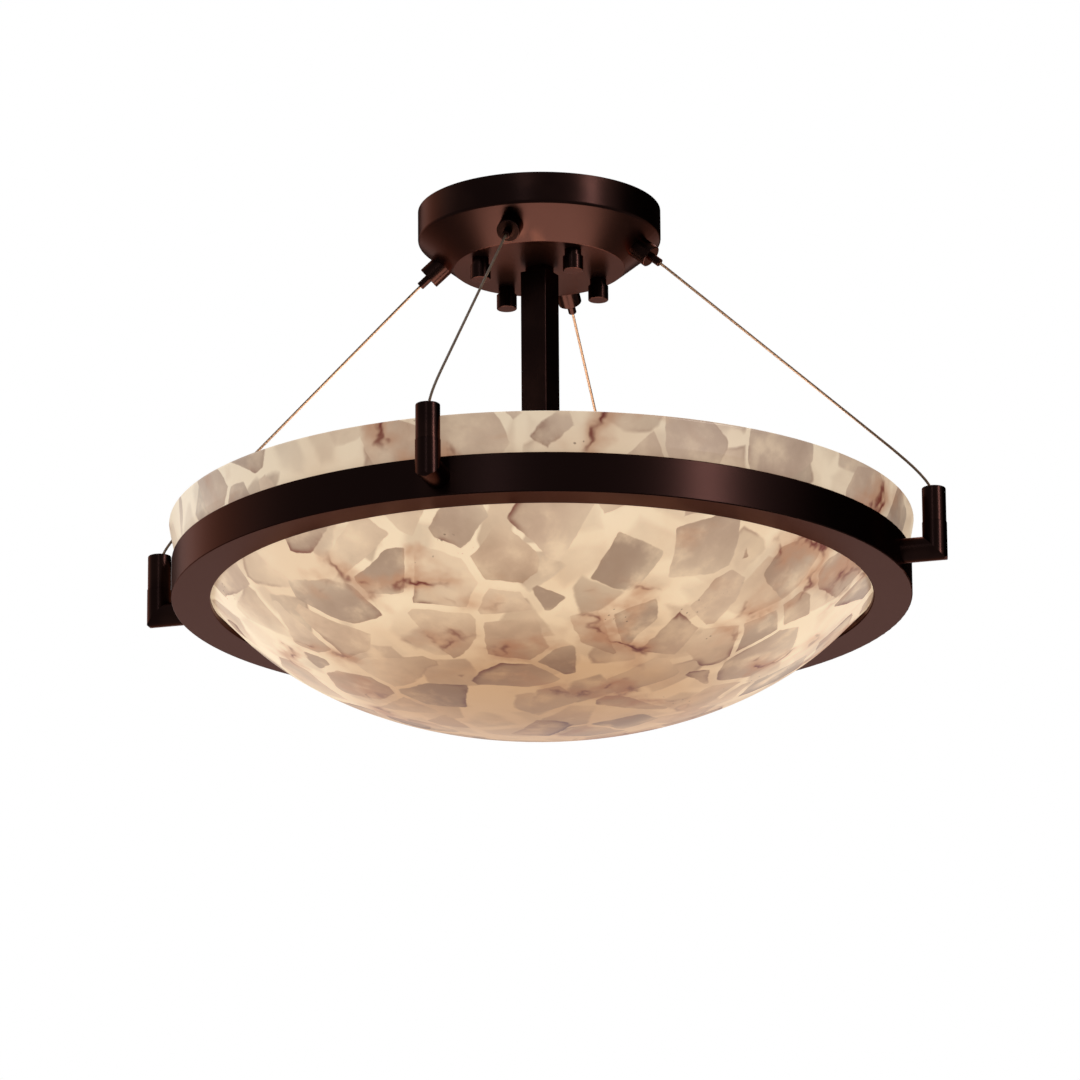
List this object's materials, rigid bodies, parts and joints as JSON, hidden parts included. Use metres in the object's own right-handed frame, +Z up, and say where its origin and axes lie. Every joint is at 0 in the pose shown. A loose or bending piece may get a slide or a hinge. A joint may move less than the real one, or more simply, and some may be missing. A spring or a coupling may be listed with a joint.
{
  "type": "semi flush ceiling light",
  "caption": "Semi flush ceiling light: shallow translucent stone and resin bowl in a dark bronze ring, hung by thin steel cables under a round canopy with a square stem.",
  "frame": {"origin": "centre of the canopy's ceiling face, where the mounting plate's box screws go up into the ceiling", "axes": "+Z up into the ceiling; +X and +Y along two of the four cables and posts; the whole light hangs below Z = 0"},
  "size_m": [0.5128, 0.5128, 0.3314],
  "materials": {
    "bronze": "dark bronze powder coat, satin",
    "bronze_fitting": "dark bronze lacquer, smooth satin",
    "zinc_steel": "zinc plated steel",
    "cable_steel": "stranded steel cable",
    "brass": "plain brass",
    "stone_resin": "translucent stone pieces cast in resin, smooth",
    "silicone": "clear silicone, matt",
    "phenolic": "black moulded insulator",
    "wire_black": "black wire insulation",
    "wire_white": "white wire insulation",
    "connector": "orange moulded connector",
    "bulb_glass": "frosted glass",
    "cap_metal": "plain aluminium screw cap",
    "ground_green": "green screw"
  },
  "bodies": {
    "frame": {"arm_screws": "bronze_fitting", "bowl_pads": "silicone", "cable_1": "cable_steel", "cable_2": "cable_steel", "cable_3": "cable_steel", "cable_4": "cable_steel", "cable_stops": "zinc_steel", "canopy": "bronze", "canopy_studs": "zinc_steel", "gripper_body_1": "bronze_fitting", "gripper_body_2": "bronze_fitting", "gripper_body_3": "bronze_fitting", "gripper_body_4": "bronze_fitting", "gripper_bushes": "brass", "gripper_nuts": "zinc_steel", "gripper_saddles": "zinc_steel", "gripper_springs": "zinc_steel", "ground_screw": "ground_green", "hub_cover": "bronze", "hub_nut": "bronze", "lamp_hub": "bronze", "lampholder_1": "phenolic", "lampholder_2": "phenolic", "lampholder_3": "phenolic", "live_wire": "wire_black", "mounting_plate": "zinc_steel", "neutral_wire": "wire_white", "post_1": "bronze_fitting", "post_2": "bronze_fitting", "post_3": "bronze_fitting", "post_4": "bronze_fitting", "ring": "bronze", "socket_contacts": "brass", "socket_shells": "brass", "stem": "bronze", "stem_bottom_nipple": "zinc_steel", "stem_lock_nut": "zinc_steel", "stem_plugs": "zinc_steel", "stem_top_nipple": "zinc_steel", "stud_nuts": "zinc_steel", "wire_nuts": "connector"},
    "knob_1": {"knob_1": "bronze_fitting"},
    "release_1": {"gripper_plunger_1": "bronze_fitting"},
    "post_cap_1": {"post_cap_1": "bronze_fitting"},
    "knob_2": {"knob_2": "bronze_fitting"},
    "release_2": {"gripper_plunger_2": "bronze_fitting"},
    "post_cap_2": {"post_cap_2": "bronze_fitting"},
    "knob_3": {"knob_3": "bronze_fitting"},
    "release_3": {"gripper_plunger_3": "bronze_fitting"},
    "post_cap_3": {"post_cap_3": "bronze_fitting"},
    "knob_4": {"knob_4": "bronze_fitting"},
    "release_4": {"gripper_plunger_4": "bronze_fitting"},
    "post_cap_4": {"post_cap_4": "bronze_fitting"},
    "bowl": {"bowl": "stone_resin"},
    "lamp_1": {"bulb_1": "bulb_glass", "bulb_cap_1": "cap_metal"},
    "lamp_2": {"bulb_2": "bulb_glass", "bulb_cap_2": "cap_metal"},
    "lamp_3": {"bulb_3": "bulb_glass", "bulb_cap_3": "cap_metal"}
  },
  "joints": [
    {"name": "knob_1_unscrews", "type": "hinge", "parent": "frame", "child": "knob_1", "pos_m": [0.02984, 0.02984, -0.0446], "axis": [0, 0, 1], "continuous": true},
    {"name": "release_1_pressed", "type": "slide", "parent": "frame", "child": "release_1", "axis": [-0.7649, 0, 0.6441], "range_m": [0, 0.0025], "stiffness_N_per_m": 1500, "springref_m": -0.002},
    {"name": "post_cap_1_unscrews", "type": "hinge", "parent": "frame", "child": "post_cap_1", "pos_m": [0.2487, 0, -0.2144], "axis": [0, 0, 1], "continuous": true},
    {"name": "knob_2_unscrews", "type": "hinge", "parent": "frame", "child": "knob_2", "pos_m": [-0.02984, 0.02984, -0.0446], "axis": [0, 0, 1], "continuous": true},
    {"name": "release_2_pressed", "type": "slide", "parent": "frame", "child": "release_2", "axis": [0, -0.7649, 0.6441], "range_m": [0, 0.0025], "stiffness_N_per_m": 1500, "springref_m": -0.002},
    {"name": "post_cap_2_unscrews", "type": "hinge", "parent": "frame", "child": "post_cap_2", "pos_m": [0, 0.2487, -0.2144], "axis": [0, 0, 1], "continuous": true},
    {"name": "knob_3_unscrews", "type": "hinge", "parent": "frame", "child": "knob_3", "pos_m": [-0.02984, -0.02984, -0.0446], "axis": [0, 0, 1], "continuous": true},
    {"name": "release_3_pressed", "type": "slide", "parent": "frame", "child": "release_3", "axis": [0.7649, 0, 0.6441], "range_m": [0, 0.0025], "stiffness_N_per_m": 1500, "springref_m": -0.002},
    {"name": "post_cap_3_unscrews", "type": "hinge", "parent": "frame", "child": "post_cap_3", "pos_m": [-0.2487, 0, -0.2144], "axis": [0, 0, 1], "continuous": true},
    {"name": "knob_4_unscrews", "type": "hinge", "parent": "frame", "child": "knob_4", "pos_m": [0.02984, -0.02984, -0.0446], "axis": [0, 0, 1], "continuous": true},
    {"name": "release_4_pressed", "type": "slide", "parent": "frame", "child": "release_4", "axis": [0, 0.7649, 0.6441], "range_m": [0, 0.0025], "stiffness_N_per_m": 1500, "springref_m": -0.002},
    {"name": "post_cap_4_unscrews", "type": "hinge", "parent": "frame", "child": "post_cap_4", "pos_m": [0, -0.2487, -0.2144], "axis": [0, 0, 1], "continuous": true},
    {"name": "bowl_turns_in_ring", "type": "hinge", "parent": "frame", "child": "bowl", "pos_m": [0, 0, -0.254], "axis": [0, 0, 1], "continuous": true},
    {"name": "lamp_1_unscrews", "type": "hinge", "parent": "frame", "child": "lamp_1", "pos_m": [0, 0.06761, -0.21212], "axis": [0, 0.9659, -0.2588], "continuous": true},
    {"name": "lamp_2_unscrews", "type": "hinge", "parent": "frame", "child": "lamp_2", "pos_m": [-0.05856, -0.03381, -0.21212], "axis": [-0.8365, -0.483, -0.2588], "continuous": true},
    {"name": "lamp_3_unscrews", "type": "hinge", "parent": "frame", "child": "lamp_3", "pos_m": [0.05856, -0.03381, -0.21212], "axis": [0.8365, -0.483, -0.2588], "continuous": true}
  ]
}
